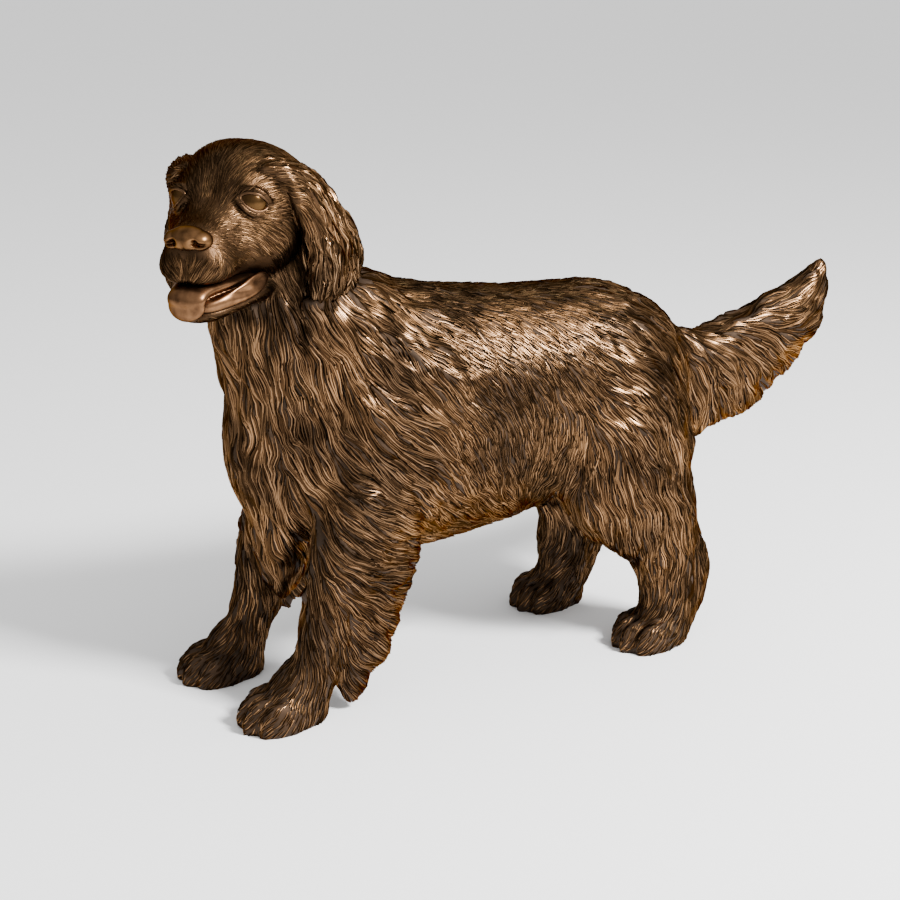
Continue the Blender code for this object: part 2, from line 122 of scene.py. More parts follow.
def thinned(mesh, triangles):
    """The same skin with about that many triangles, most of them where it bends."""
    skin = bpy.data.objects.new("skin", mesh)
    bpy.context.scene.collection.objects.link(skin)
    fewer = skin.modifiers.new("fewer", "DECIMATE")
    mesh.calc_loop_triangles()
    fewer.ratio = min(1, triangles / len(mesh.loop_triangles))
    graph = bpy.context.evaluated_depsgraph_get()
    result = bpy.data.meshes.new_from_object(skin.evaluated_get(graph))
    bpy.data.objects.remove(skin)
    return result


def points_of(mesh):
    where = np.empty(len(mesh.vertices) * 3, np.float32)
    mesh.vertices.foreach_get("co", where)
    return where.reshape(-1, 3).astype(float)


def finished(name, mesh, material):
    """Puts a mesh in the scene as a piece of the casting."""
    mesh.name = name
    mesh.materials.clear()
    mesh.materials.append(material)
    mesh.shade_smooth()
    piece = bpy.data.objects.new(name, mesh)
    bpy.context.scene.collection.objects.link(piece)
    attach(piece, "root")
    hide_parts("retriever")
    return piece


def shader(name, metallic=1.0):
    """A new node material, its tree and its Principled shader."""
    material = bpy.data.materials.new(name)
    material.use_nodes = True
    tree = material.node_tree
    principled = tree.nodes["Principled BSDF"]
    principled.inputs["Metallic"].default_value = metallic
    if metallic:
        principled.inputs["Specular Tint"].default_value = EDGE_TINT
    return material, tree, principled


def ramp(tree, value, stops):
    """Colour ramp node fed by value. A stop is (place, red, green, blue)."""
    node = tree.nodes.new("ShaderNodeValToRGB")
    elements = node.color_ramp.elements
    for place, *colour in stops[2:]:
        elements.new(place)
    for element, (place, *colour) in zip(elements, sorted(stops)):
        element.position = place
        element.color = (*colour, 1)
    tree.links.new(value, node.inputs["Fac"])
    return node.outputs["Color"]


def mottling(tree, size):
    """Noise over the object's own coordinates. size is in metres."""
    place = tree.nodes.new("ShaderNodeTexCoord")
    noise = tree.nodes.new("ShaderNodeTexNoise")
    noise.inputs["Scale"].default_value = 1 / size
    noise.inputs["Detail"].default_value = 3
    tree.links.new(place.outputs["Object"], noise.inputs["Vector"])
    return noise.outputs["Fac"]


def bump(tree, height, distance, strength, principled):
    node = tree.nodes.new("ShaderNodeBump")
    node.inputs["Distance"].default_value = distance
    node.inputs["Strength"].default_value = strength
    tree.links.new(height, node.inputs["Height"])
    tree.links.new(node.outputs["Normal"], principled.inputs["Normal"])


def flat_soles(mesh):
    """Presses the lowest part of each paw flat on the ground."""
    where = points_of(mesh)
    where[where[:, 2] < SOLE_FLAT, 2] = 0
    mesh.vertices.foreach_set("co", where.ravel())


def ground_bronze():
    """Dark patina that stays in the hollows between the hairs."""
    material, tree, principled = shader("ground bronze", metallic=0.35)
    tone = mottling(tree, 0.03)
    colour = ramp(tree, tone, [(0.3, 0.012, 0.007, 0.004), (0.7, 0.035, 0.019, 0.01)])
    tree.links.new(colour, principled.inputs["Base Color"])
    principled.inputs["Roughness"].default_value = 0.6
    return material


TOES = ((-0.76, 0.34), (-0.27, 0.58), (0.27, 0.58), (0.76, 0.34))  # across and forward, as shares of a paw
PAWS = (  # along, across, half length and half width, in hundredths
    (-46, -15.8, 12, 7.8),
    (-50, 15.8, 12, 7.8),
    (57.5, -18, 11.5, 7.6),
    (47, 18, 11.5, 7.6),
)
INSTEP_SLOPE = math.radians(-48)
TOE_SLOPE = math.radians(-14)

body_form = bmesh.new()
body_form.from_mesh(frame["nodes"]["retriever"].data)
bmesh.ops.remove_doubles(body_form, verts=body_form.verts, dist=0.00001)
bmesh.ops.bisect_plane(
    body_form,
    geom=body_form.verts[:] + body_form.edges[:] + body_form.faces[:],
    plane_co=(0, 0, THROAT_CUT),
    plane_no=(0, 0, 1),
    clear_outer=True,
)
rim = [edge for edge in body_form.edges if edge.is_boundary]
bmesh.ops.holes_fill(body_form, edges=rim)
for paw_x, paw_y, half_length, half_width in PAWS:
    instep = Matrix.Translation((paw_x + 1.6, paw_y, 8.6)) @ Matrix.Rotation(INSTEP_SLOPE, 4, "Y")
    forms = [instep @ Matrix.Diagonal((8.5, half_width * 0.72, 4.6, 1))]
    for across, forward in TOES:
        toe_at = Vector((paw_x - half_length * forward + 1.2, paw_y + half_width * across, 1.9))
        knuckle = Matrix.Translation(toe_at) @ Matrix.Rotation(TOE_SLOPE, 4, "Y")
        forms.append(knuckle @ Matrix.Diagonal((5.8, half_width * 0.25, 6.3, 1)))
    for form in forms:
        bmesh.ops.create_uvsphere(body_form, u_segments=24, v_segments=16, radius=1, matrix=to_row @ form)
body_mesh = fused(body_form, BODY_GRAIN, BODY_SMOOTHING)
largest_body(body_mesh)
flat_soles(body_mesh)
ground = ground_bronze()

# The head: skull, muzzle, lower jaw, ears and the upper neck, which runs down inside the body's skin.
# It is modelled in the head's own axes (forward, left, up from between the eyes) in hundredths, then turned
# 42 degrees to the dog's left. It is cast in one with the body, in brown bronze with a fine cast grain.
EYES_AT = (-56.7, -13.0, 125.0)
HEAD_YAW = math.radians(42)
HEAD_ROLL = math.radians(-0.5)
HEAD_GRAIN = 0.3  # hundredths, the finest form that the skin holds
HEAD_SMOOTHING = 9  # passes
HEAD_FACETS = 76000
LEFT_EAR_SPREAD = 0.3  # hundredths further out than the ear's own line
RIGHT_EAR_SPREAD = -1.6

head_turn = Matrix.Rotation(HEAD_YAW, 4, "Z") @ Matrix.Rotation(HEAD_ROLL, 4, "X")
head_in_body = Matrix.Translation(Vector(EYES_AT)) @ head_turn @ Matrix.Diagonal((-1, -1, 1, 1))
head_to_row = to_row @ head_in_body


def ellipsoid(bm, centre, radii, tilt=(0, 0, 0)):
    """A rounded mass. tilt is turned about X, Y and Z, in degrees."""
    turn = Matrix.Identity(4)
    for angle, axis in zip(tilt, "XYZ"):
        turn = Matrix.Rotation(math.radians(angle), 4, axis) @ turn
    place = Matrix.Translation(Vector(centre)) @ turn @ Matrix.Diagonal((*radii, 1))
    bmesh.ops.create_uvsphere(bm, u_segments=48, v_segments=32, radius=1, matrix=place)


def smooth_rows(stations, steps=6):
    """Catmull-Rom curve through rows of numbers."""
    rows = np.array(stations, float)
    ends = [2 * rows[0] - rows[1], *rows, 2 * rows[-1] - rows[-2]]
    out = []
    for a, b, c, d in zip(ends, ends[1:], ends[2:], ends[3:]):
        for t in np.arange(steps) / steps:
            bend = (2 * a - 5 * b + 4 * c - d) * t**2 + (3 * b - a - 3 * c + d) * t**3
            out.append(0.5 * (2 * b + (c - a) * t + bend))
    out.append(rows[-1])
    return np.array(out)


def skin_rings(bm, rings):
    """Closes a tube of vertex rings that all have as many vertices."""
    count = len(rings[0])
    for ring, following in zip(rings, rings[1:]):
        for k in range(count):
            after = (k + 1) % count
            bm.faces.new((ring[k], ring[after], following[after], following[k]))
    bm.faces.new(list(reversed(rings[0])))
    bm.faces.new(rings[-1])


def limb(bm, stations, across=(0, 1, 0), sides=28, frame=Matrix.Identity(4)):
    """A closed form lofted through oval sections. A station is x, y, z, the radius across and the other."""
    rows = smooth_rows(stations)
    centres = rows[:, :3]
    rings = []
    for centre, tangent, (wide, deep) in zip(centres, np.gradient(centres, axis=0), rows[:, 3:5]):
        along = Vector(tangent).normalized()
        first = (Vector(across) - along * Vector(across).dot(along)).normalized()
        second = along.cross(first)
        ring = []
        for k in range(sides):
            angle = 2 * math.pi * k / sides
            point = Vector(centre) + first * (wide * math.cos(angle)) + second * (deep * math.sin(angle))
            ring.append(bm.verts.new(frame @ point))
        rings.append(ring)
    skin_rings(bm, rings)


def skull_and_muzzle(bm, sides=64):
    """Lofted along the head. A station is forward, top, height of the widest line, bottom and half width."""
    stations = [
        (-29, 1, -6, -17, 6),
        (-27, 4.5, -6, -21, 11),
        (-20.5, 9.6, -4, -23, 14.8),
        (-13, 12.2, -2, -22, 14.8),
        (-7, 12, -3.5, -19, 14.2),
        (-2.5, 9.5, -5, -16.5, 12.6),
        (0.5, 5.6, -6.5, -15.8, 10.8),
        (3.5, 1.4, -8, -16, 9),
        (7, -1.2, -9.5, -16.4, 7.7),
        (10.5, -2.6, -10, -16.6, 7.1),
        (13.2, -4.6, -10.6, -16.4, 6.3),
        (14.9, -7, -11.4, -15.6, 4.7),
        (15.6, -10, -12, -13.5, 1.8),
    ]
    rings = []
    for forward, top, widest, bottom, half in smooth_rows(stations):
        ring = []
        for k in range(sides):
            angle = 2 * math.pi * k / sides
            across = half * math.copysign(abs(math.cos(angle)) ** 0.85, math.cos(angle))
            reach = top - widest if math.sin(angle) > 0 else widest - bottom
            ring.append(bm.verts.new((forward, across, widest + reach * math.sin(angle))))
        rings.append(ring)
    skin_rings(bm, rings)


def sculpt(mesh, strokes):
    """Pushes the skin round each centre and its mirror image. A stroke is (centre, reach, push)."""
    skin = points_of(mesh)
    moved = skin.copy()
    for centre, reach, push in strokes:
        for side in (-1, 1) if centre[1] else (1,):
            flip = np.array((1, side, 1))
            away = (skin - np.array(centre) * flip) / np.array(reach)
            moved += np.exp(-(away**2).sum(1))[:, None] * (np.array(push) * flip)
    mesh.vertices.foreach_set("co", moved.ravel())


FACE = [
    ((1.5, 8.2, 4.6), (3, 3.6, 1.9), (0.9, 0.3, 0.5)),  # brow
    ((2.5, 0, 4.2), (3.5, 1.8, 4.5), (-0.9, 0, -0.5)),  # furrow between the brows
    ((1.5, 9.2, 0), (3, 3, 2.4), (-1.5, -1.1, 0)),  # eye socket
    ((2.5, 8.2, -5), (4, 3, 3), (-0.3, -0.9, 0)),  # hollow under the eye
    ((-5, 13, -9), (6, 5, 6), (0, 1.2, 0)),  # cheek
    ((10, 6.6, -12), (5, 4, 3.2), (0.2, 1.3, -0.2)),  # flews
    ((15, 0, -12), (3, 0.8, 3.4), (-1, 0, 0)),  # groove under the nose
    ((9, 0, -16.8), (9, 4.4, 2.2), (0, 0, 2.6)),  # roof of the mouth
]


def jaw(bm):
    limb(
        bm,
        [
            (-12, 0, -19, 9.5, 5.5),
            (-5, 0, -19.3, 9.4, 3.8),
            (1, 0, -20.2, 8.4, 2.8),
            (7, 0, -21.2, 6.6, 2.2),
            (11, 0, -21.9, 4.8, 1.7),
            (13, 0, -22.2, 2.6, 1),
        ],
    )


def ear(bm, side, spread):
    ellipsoid(bm, (-21, side * 11.5, -9), (10, 6, 12))  # fur behind the ear
    ellipsoid(bm, (-9.5, side * 12.2, 3.5), (4.6, 3.4, 4.4))  # root of the ear
    limb(
        bm,
        [
            (-3.6, side * 8.4, 7.4, 1, 0.7),
            (-7, side * 11, 6.5, 3, 2.2),
            (-10.2, side * 13.5, 4.5, 5.4, 2.6),
            (-13.6, side * (15.8 + spread), -1.5, 7.6, 2.8),
            (-17.2, side * (17.6 + spread), -8.4, 9.4, 3),
            (-19, side * (18.4 + spread), -13.4, 11, 3.1),
            (-14.5, side * (18.4 + spread), -17.4, 7, 2.9),
            (-11.5, side * (18 + spread), -20.6, 4, 2.2),
            (-10.5, side * (17.6 + spread), -22.2, 2, 1.2),
        ],
        across=(1, 0, 0),
    )


def upper_neck(bm):
    limb(
        bm,
        [
            (-26.5, -0.8, 88, 14, 17),
            (-35.5, -1.5, 96, 16.4, 17.4),
            (-39.5, -2.5, 108, 13, 16),
            (-43, -4, 121, 12, 12),
        ],
        frame=head_in_body.inverted(),
    )
    limb(
        bm,
        [(-41.5, -1.5, 108, 8, 6), (-41.7, -1, 97, 11, 7.4), (-42, -0.5, 90, 11, 7)],
        frame=head_in_body.inverted(),
    )


# Each eye looks to its own side, and its lids lie on a slightly larger ball than the eye.
EYE_AT = Vector((-1.4, 7.95, 0.9))
EYE_RADIUS = 3.5
EYE_SPLAY = math.radians(38)
EYE_SLANT = 0.3  # how far the lids rise toward the nose
LID_BALL = 3.65
FOLD_BALL = 3.9


def eye_centre(side):
    return EYE_AT * Vector((1, side, 1))


def sight(side, rise=0.0):
    """The way that the eye of that side looks."""
    return Vector((math.cos(EYE_SPLAY), side * math.sin(EYE_SPLAY), rise))


def lid_points(side, half_width, half_height, ball, first=0.0, last=2 * math.pi, count=32):
    """Points of an almond-shaped line on a ball round the eye, from angle first to last. 0 is by the nose."""
    noseward = Vector((math.sin(EYE_SPLAY), -side * math.cos(EYE_SPLAY), 0))
    line = []
    for angle in np.linspace(first, last, count):
        wide = half_width * math.cos(angle)
        high = half_height * math.copysign(abs(math.sin(angle)) ** 1.25, math.sin(angle)) + EYE_SLANT * wide
        deep = math.sqrt(max(ball**2 - wide**2 - high**2, 0.3))
        line.append(eye_centre(side) + sight(side) * deep + noseward * wide + Vector((0, 0, high)))
    return line


head_form = bmesh.new()
skull_and_muzzle(head_form)
head_mesh = fused(head_form, HEAD_GRAIN, HEAD_SMOOTHING)
sculpt(head_mesh, FACE)
head_form = bmesh.new()
head_form.from_mesh(head_mesh)
jaw(head_form)
upper_neck(head_form)
for side, spread in ((-1, RIGHT_EAR_SPREAD), (1, LEFT_EAR_SPREAD)):
    ear(head_form, side, spread)
    ellipsoid(head_form, eye_centre(side) - sight(side) * 0.6, (3.8, 3.8, 3.6))  # backing of the eye
    ellipsoid(head_form, (-0.2, side * 5.6, -1.6), (2.6, 2.6, 2.6))  # inner corner of the eye
    socket = [(*point, 0.62, 0.62) for point in lid_points(side, 3.75, 2.8, FOLD_BALL)]
    limb(head_form, socket, across=(1, 0, 0), sides=10)
head_mesh = fused(head_form, HEAD_GRAIN, smoothing=3)
largest_body(head_mesh)


def face_bronze():
    """Brown bronze with a fine cast grain, lighter in patches."""
    material, tree, principled = shader("face bronze")
    tone = mottling(tree, 0.025)
    colour = ramp(tree, tone, [(0.25, 0.022, 0.012, 0.006), (0.75, 0.075, 0.04, 0.02)])
    tree.links.new(colour, principled.inputs["Base Color"])
    principled.inputs["Roughness"].default_value = 0.42
    bump(tree, mottling(tree, 0.0022), 0.0006, 0.6, principled)
    return material


head_mesh.transform(head_to_row)

# The eyes: balls left smooth by the chaser, each with an incised ring for the iris.
# They are part of the bronze casting, turned here as profiles about the line of sight.
EYE_SIDES = 36
EYE_RISE = 0.05  # how far the gaze is raised
IRIS_RADIUS = 1.5
RING_DEPTH = 0.04
RING_WIDTH = 0.12


def eye_profile():
    """(distance from the line of sight, distance along it), with the groove of the iris."""
    profile = []
    for angle in np.radians(np.arange(0, 121, 3)):
        away = EYE_RADIUS * math.sin(angle)
        along = EYE_RADIUS * math.cos(angle)
        if along > 0:
            groove = RING_DEPTH * math.exp(-(((away - IRIS_RADIUS) / RING_WIDTH) ** 2))
            away, along = away * (1 - groove / EYE_RADIUS), along * (1 - groove / EYE_RADIUS)
        profile.append((away, along))
    return profile


def polished_bronze(name, dark, light, roughness):
    """Bronze without a coat, rubbed smooth, in broad patches of two browns."""
    material, tree, principled = shader(name)
    colour = ramp(tree, mottling(tree, 0.018), [(0.3, *dark), (0.72, *light)])
    tree.links.new(colour, principled.inputs["Base Color"])
    principled.inputs["Roughness"].default_value = roughness
    return material


turns = [2 * math.pi * k / EYE_SIDES for k in range(EYE_SIDES)]
eye_form = bmesh.new()
for side in (-1, 1):
    gaze = sight(side, EYE_RISE).to_track_quat("Z", "Y").to_matrix().to_4x4()
    place = Matrix.Translation(eye_centre(side)) @ gaze
    rings = []
    for away, along in eye_profile()[1:-1]:
        ring = [place @ Vector((away * math.cos(turn), away * math.sin(turn), along)) for turn in turns]
        rings.append([eye_form.verts.new(point) for point in ring])
    skin_rings(eye_form, rings)
bmesh.ops.recalc_face_normals(eye_form, faces=eye_form.faces)
eye_mesh = bpy.data.meshes.new("eyes")
eye_form.to_mesh(eye_mesh)
eye_form.free()
eye_mesh.transform(head_to_row)
eye_metal = polished_bronze("eye bronze", (0.035, 0.017, 0.006), (0.085, 0.044, 0.016), roughness=0.26)
finished("eyes", eye_mesh, eye_metal)

# The eyelids: a thin rolled rim round each eye, and the fold of skin above it.
# They are chased sharp in the same bronze, so that the eye sits in a clean edge.
LID_GRAIN = 0.13
LID_FACETS = 9000

lid_form = bmesh.new()
for side in (-1, 1):
    rim_line = [(*point, 0.26, 0.36) for point in lid_points(side, 3.05, 1.9, LID_BALL)]
    limb(lid_form, rim_line, across=(1, 0, 0), sides=10)
    fold = lid_points(side, 3.5, 2.75, FOLD_BALL, 0.3, math.pi - 0.2, 15)
    swells = np.sin(np.linspace(0.15, math.pi - 0.15, len(fold))) ** 0.5
    fold_line = [(*point, 0.24 * swell, 0.34 * swell) for point, swell in zip(fold, swells)]
    limb(lid_form, fold_line, across=(1, 0, 0), sides=10)
lid_mesh = thinned(fused(lid_form, LID_GRAIN, smoothing=2), LID_FACETS)
lid_mesh.transform(head_to_row)
lid_metal = polished_bronze("lid bronze", (0.05, 0.027, 0.014), (0.13, 0.07, 0.036), roughness=0.36)
finished("eyelids", lid_mesh, lid_metal)

# The nose: a smooth leathery pad with two comma-shaped nostrils and a groove down the middle.
# Touching has rubbed it to warm reddish bronze.
NOSE_GRAIN = 0.16
NOSE_FACETS = 9000
NOSTRILS = [  # and the groove between them
    ((15.8, 2.6, -5.8), (1.5, 0.75, 0.6), (-1.9, 0, 0)),
    ((15.1, 3.7, -6.2), (1.4, 1.0, 0.4), (-1.5, 0, 0)),
    ((15.6, 0, -7.4), (1.4, 0.3, 1.8), (-0.35, 0, 0)),
]
nose_form = bmesh.new()
ellipsoid(nose_form, (13.2, 0, -5.2), (3.1, 4.6, 2.7), (0, 20, 0))
for side in (-1, 1):
    ellipsoid(nose_form, (13.1, side * 3.2, -5.6), (2.8, 2.3, 2.2))
nose_mesh = thinned(fused(nose_form, NOSE_GRAIN, smoothing=8), NOSE_FACETS)
sculpt(nose_mesh, NOSTRILS)
nose_mesh.transform(head_to_row)
nose_metal = polished_bronze("nose bronze", (0.05, 0.024, 0.01), (0.2, 0.1, 0.042), roughness=0.3)
finished("nose", nose_mesh, nose_metal)

# The tongue and lips: the tongue lies over the lower lip and hangs round and smooth from the open mouth.
# The lip is a soft band to the corner of the mouth. Both are cast bronze, rubbed as bright as the nose.
MOUTH_GRAIN = 0.2
MOUTH_SMOOTHING = 24  # passes
MOUTH_FACETS = 15000
LOWER_LIP = [  # forward, left, up, half height
    (-4.2, 9.2, -16.2, 0.5),
    (-2.6, 9.3, -16.4, 1.8),
    (0, 9, -16.9, 2.3),
    (3, 8.3, -17.7, 2.2),
    (6.5, 6.9, -18.7, 1.8),
    (10, 4.9, -19.6, 1.5),
    (12.2, 2.4, -20.1, 1.3),
]
MOUTH_HOLLOWS = [
    ((8, 0, -15.1), (6, 0.7, 2), (0, 0, -0.5)),  # groove along the tongue
    ((15.6, 0, -18.2), (2.4, 0.6, 2.4), (-0.35, 0, 0)),  # and over its tip
    ((-0.5, 10, -16.4), (3.6, 2.4, 1.2), (0, -0.8, 0)),  # cup of the lip
    ((4.5, 8.4, -17.8), (4, 2.4, 0.9), (0, -0.6, 0)),
]


def mirrored(line):
    return line + [(forward, -left, *rest) for forward, left, *rest in reversed(line)]


mouth_form = bmesh.new()
limb(
    mouth_form,
    [
        (-4, 0, -15.8, 7, 1.8),
        (4, 0, -16, 6.8, 1.8),
        (9.5, 0, -16.1, 5.8, 1.9),
        (13, 0, -16.6, 4.8, 2.1),
        (15.2, -0.1, -17.9, 4.6, 2.2),
        (15.6, -0.2, -19.4, 4, 1.7),
    ],
)
floor_of_mouth = [
    (-4, 0, -17.4, 8.4, 1.8),
    (3, 0, -18, 8, 1.8),
    (8, 0, -18.7, 6.4, 1.7),
    (12, 0, -19.4, 4, 1.4),
]
limb(mouth_form, floor_of_mouth)
ellipsoid(mouth_form, (15, -0.2, -19.2), (1.9, 4.4, 3.6), (0, -8, 0))  # tip of the tongue
limb(mouth_form, [(*point, 0.95) for point in mirrored(LOWER_LIP)], across=(0, 0, 1), sides=20)
mouth_mesh = thinned(fused(mouth_form, MOUTH_GRAIN, MOUTH_SMOOTHING), MOUTH_FACETS)
sculpt(mouth_mesh, MOUTH_HOLLOWS)
mouth_mesh.transform(head_to_row)
tongue_metal = polished_bronze("tongue bronze", (0.06, 0.029, 0.014), (0.21, 0.105, 0.05), roughness=0.3)
finished("mouth", mouth_mesh, tongue_metal)

# The coat: thousands of chased hairs, each a low ridge that grows from the skin, lies along the comb and
# sinks in again at its tip. All are one bronze with the body, patina brown with painted shade in the grooves
# and brassy with a painted highlight on the crests.
# A row of the comb is (place, way the hair lies, length and width in mm, piece), mirrored to the right.
COMB_REACH = 9.0  # hundredths
COMB_ATTRIBUTES = ("comb", "outward", "hair_length", "hair_width")
GROWTH_ATTRIBUTES = ("growth", "thick", "hair", "step", "spring")
RIDGE_HALF_ARC = math.radians(120)  # a hair is a bow of three points, open toward the skin
RIDGE_WIDENING = 1.15
RIDGE_RISE = 0.06  # of its half width
COMB = [
    ((-24, 0, 112), (1, 0, -0.8), 45, 5, "mane"),
    ((-36, -16, 102), (0.4, -0.1, -1), 50, 5, "mane"),
    ((-26, -16, 98), (0.8, -0.1, -0.9), 48, 5, "mane"),
    ((-14, -15, 92), (0.9, 0, -0.8), 42, 4.6, "mane"),
    ((-34, -19, 84), (0.25, 0, -1), 55, 5, "mane"),
    ((-24, -21, 82), (0.75, 0, -0.9), 48, 5, "mane"),
    ((-12, -22, 78), (0.7, 0, -0.8), 38, 4.4, "mane"),
    ((-32, -20, 68), (0.5, 0, -1), 50, 5, "mane"),
    ((-20, -23, 68), (1, 0, -0.45), 50, 5, "mane"),
    ((-10, -23, 60), (0.8, 0, -0.6), 40, 4.4, "mane"),
    ((-53, 0, 96), (0.05, 0, -1), 50, 5.4, "chest"),
    ((-50, -9, 84), (0.15, -0.15, -1), 60, 5.6, "chest"),
    ((-48, -6, 68), (0.1, 0.15, -1), 60, 5.6, "chest"),
    ((-46, 0, 55), (0.1, 0, -1), 60, 5.4, "chest"),
    ((-41, 0, 34), (0.1, 0, -1), 46, 5, "chest"),
    ((0, 0, 99), (1, 0, -0.1), 21, 2.7, "back"),
    ((28, 0, 97), (1, 0, -0.1), 21, 2.7, "back"),
    ((2, -11, 94), (0.9, -0.4, -0.6), 21, 2.7, "back"),
    ((30, -11, 92), (0.9, -0.4, -0.6), 21, 2.7, "back"),
    ((5, -20, 80), (0.7, -0.1, -1), 21, 2.7, "back"),
    ((28, -20, 79), (0.6, -0.1, -1), 21, 2.7, "back"),
    ((2, -23, 64), (0.35, 0, -1), 21, 2.7, "back"),
    ((22, -22, 64), (0.15, 0, -1), 21, 2.7, "back"),
    ((30, -20, 60), (-0.7, 0, -0.8), 28, 3.4, "back"),
    ((-2, -20, 46), (0.7, 0, -0.7), 42, 4.6, "back"),
    ((14, -17, 44), (0.8, 0, -0.7), 42, 4.6, "back"),
    ((24, -17, 51), (-0.5, 0, -0.9), 36, 4, "back"),
    ((8, 0, 36), (1, 0, -0.4), 40, 5, "back"),
    ((50, -8, 91), (1, -0.2, -0.6), 40, 4.4, "hind"),
    ((48, -17, 80), (1, -0.1, -0.8), 46, 4.8, "hind"),
    ((42, -21, 68), (1, 0, -0.45), 48, 5, "hind"),
    ((36, -21, 66), (0.6, 0, -0.8), 40, 4.4, "hind"),
    ((60, -12, 76), (0.5, 0, -1), 50, 5, "hind"),
    ((52, -20, 62), (0.4, 0, -1), 52, 5, "hind"),
    ((66, -9, 58), (0.15, 0, -1), 55, 5.2, "hind"),
    ((42, -18, 48), (0.4, 0, -1), 50, 5, "hind"),
    ((56, -18, 44), (0.25, 0, -1), 50, 5, "hind"),
    ((60, -18, 30), (0.3, 0, -1), 38, 4.6, "hind"),
    ((68, -17, 22), (0.15, 0, -1), 40, 4.6, "hind"),
    ((60, -18, 15), (-0.1, 0, -1), 22, 3.6, "hind"),
    ((52, -18, 6), (-1, 0, -0.6), 13, 3.3, "hind"),
    ((-27, -22, 56), (0.9, 0, -0.6), 46, 4.8, "foreleg"),
    ((-33, -20, 46), (0.85, 0, -0.8), 44, 4.6, "foreleg"),
    ((-24, -20, 44), (1, 0, -0.5), 46, 4.8, "foreleg"),
    ((-37, -17, 34), (0.6, 0, -0.9), 36, 4.4, "foreleg"),
    ((-39, -17, 20), (0.15, 0, -1), 26, 3.9, "foreleg"),
    ((-41, -16, 12), (-0.3, 0, -1), 17, 3.3, "foreleg"),
    ((-51, -16, 5), (-1, 0, -0.6), 13, 3.3, "foreleg"),
    ((-19, -17, 34), (1, 0, -0.35), 40, 4.6, "foreleg"),
    ((-25, -17, 16), (0.8, 0, -0.7), 38, 4.6, "foreleg"),
    ((72, 0, 78), (0.8, 0, -0.7), 50, 5, "tail"),
    ((76, 0, 64), (0.3, 0, -1), 62, 5.4, "tail"),
    ((86, 0, 78), (0.9, 0, -0.5), 52, 5, "tail"),
    ((87, 0, 62), (0.4, 0, -1), 62, 5.4, "tail"),
    ((97, 0, 82), (1, 0, -0.2), 50, 5, "tail"),
    ((97, 0, 66), (0.5, 0, -0.9), 58, 5.2, "tail"),
    ((106, 0, 85), (1, 0, 0.1), 46, 5, "tail"),
    ((107, 0, 70), (0.8, 0, -0.5), 50, 5, "tail"),
    ((114, 0, 84), (0.8, 0, 0.6), 44, 4.6, "tail"),
    ((119, 0, 91), (0.2, 0, 1), 30, 4, "tail"),
]


def lay_comb(mesh, rows, reach, to_place, bare):
    """Writes each point's hair as attributes, averaged from the nearby rows.

    Returns the piece of each point's nearest row, and where hair grows. bare(places, normals) says where none
    grows, with places in the frame of the rows.
    """
    places, ways, sizes, pieces = [], [], [], []
    for place, way, length, width, piece in rows:
        for side in (1, -1) if place[1] else (1,):
            places.append(np.multiply(place, (1, side, 1)))
            ways.append(np.multiply(way, (1, side, 1)) / np.linalg.norm(way))
            sizes.append((length / 1000, width / 1000))
            pieces.append(piece)
    places, ways, sizes = np.array(places), np.array(ways), np.array(sizes)
    row_frame = np.array(to_place)
    spots = (points_of(mesh) - row_frame[:3, 3]) @ np.linalg.inv(row_frame[:3, :3]).T
    turn = row_frame[:3, :3] / np.linalg.norm(row_frame[:3, 0])
    combs, hairs, nearest = [], [], []
    for chunk in np.array_split(spots, max(1, len(spots) // 20000)):
        apart = ((chunk[:, None] - places) ** 2).sum(2) / reach**2
        nearest.append(apart.argmin(1))
        weights = np.exp(apart.min(1)[:, None] - apart)
        weights /= weights.sum(1)[:, None]
        combs.append(weights @ ways @ turn.T)
        hairs.append(weights @ sizes)
    hairs = np.vstack(hairs)
    outward = np.empty(len(mesh.vertices) * 3, np.float32)
    mesh.vertices.foreach_get("normal", outward)
    for name, kind, field, values in (
        ("comb", "FLOAT_VECTOR", "vector", np.vstack(combs)),
        ("outward", "FLOAT_VECTOR", "vector", outward),
        ("hair_length", "FLOAT", "value", hairs[:, 0]),
        ("hair_width", "FLOAT", "value", hairs[:, 1]),
    ):
        mesh.attributes.new(name, kind, "POINT").data.foreach_set(field, values.astype(np.float32).ravel())
    growing = ~bare(spots, outward.reshape(-1, 3))
    return np.array(pieces)[np.concatenate(nearest)], growing


def without(mesh, names):
    """Drops the attributes of those names from the mesh."""
    for name in [item.name for item in mesh.attributes if item.name in names]:
        mesh.attributes.remove(mesh.attributes[name])


